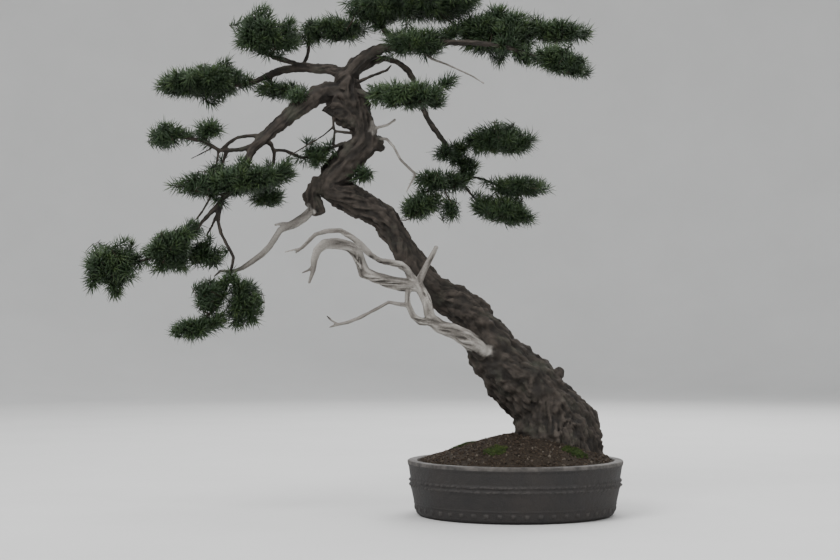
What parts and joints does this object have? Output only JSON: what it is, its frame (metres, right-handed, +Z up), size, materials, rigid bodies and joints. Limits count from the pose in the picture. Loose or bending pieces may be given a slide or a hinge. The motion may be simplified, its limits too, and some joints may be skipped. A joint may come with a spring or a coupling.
{
  "type": "potted slanting conifer bonsai tree",
  "caption": "Slanting, semi-cascading conifer bonsai with bleached dead limbs and flat foliage clouds, rooted in a low round unglazed clay pot.",
  "frame": {"origin": "centre of the pot's flat base", "axes": "+Z up, +X to the right as seen from the front, +Y away from the front; the tree leans towards -X"},
  "size_m": [0.9313, 0.376, 0.9497],
  "materials": {
    "clay": "matte",
    "screen_mesh": "matte",
    "wire": "satin",
    "soil": "matte",
    "moss": "matte",
    "bark": "matte",
    "needles": "matte"
  },
  "bodies": {
    "root": {"pot": "clay", "drain_screen_1": "screen_mesh", "drain_screen_2": "screen_mesh", "drain_screen_3": "screen_mesh", "tie_wire": "wire", "soil": "soil", "moss_patch_1": "moss", "moss_patch_2": "moss", "moss_patch_3": "moss", "moss_patch_4": "moss", "moss_patch_5": "moss", "trunk_and_branches": "bark", "foliage_apex": "needles", "foliage_cascade_arm": "needles", "foliage_cascade_inner": "needles", "foliage_cascade_tip": "needles", "foliage_crown_inner": "needles", "foliage_crown_left": "needles", "foliage_crown_right": "needles", "foliage_crown_right_low": "needles", "foliage_crown_right_tip": "needles", "foliage_crown_shelf": "needles", "foliage_front_shelf": "needles", "foliage_left_arm": "needles", "foliage_left_arm_inner": "needles", "foliage_mid_inner": "needles", "foliage_mid_tip": "needles", "foliage_right_drop_left": "needles", "foliage_right_drop_left_low": "needles", "foliage_right_drop_low": "needles", "foliage_right_drop_middle": "needles", "foliage_right_drop_right": "needles", "foliage_right_drop_sprig": "needles", "foliage_right_drop_top": "needles", "foliage_right_drop_tuft": "needles", "foliage_sprig_left": "needles", "foliage_sprig_right": "needles", "foliage_sprig_upper": "needles", "foliage_tail_left": "needles", "foliage_tail_right": "needles", "foliage_tail_tip": "needles", "foliage_terrace": "needles", "foliage_terrace_inner": "needles"}
  },
  "joints": []
}
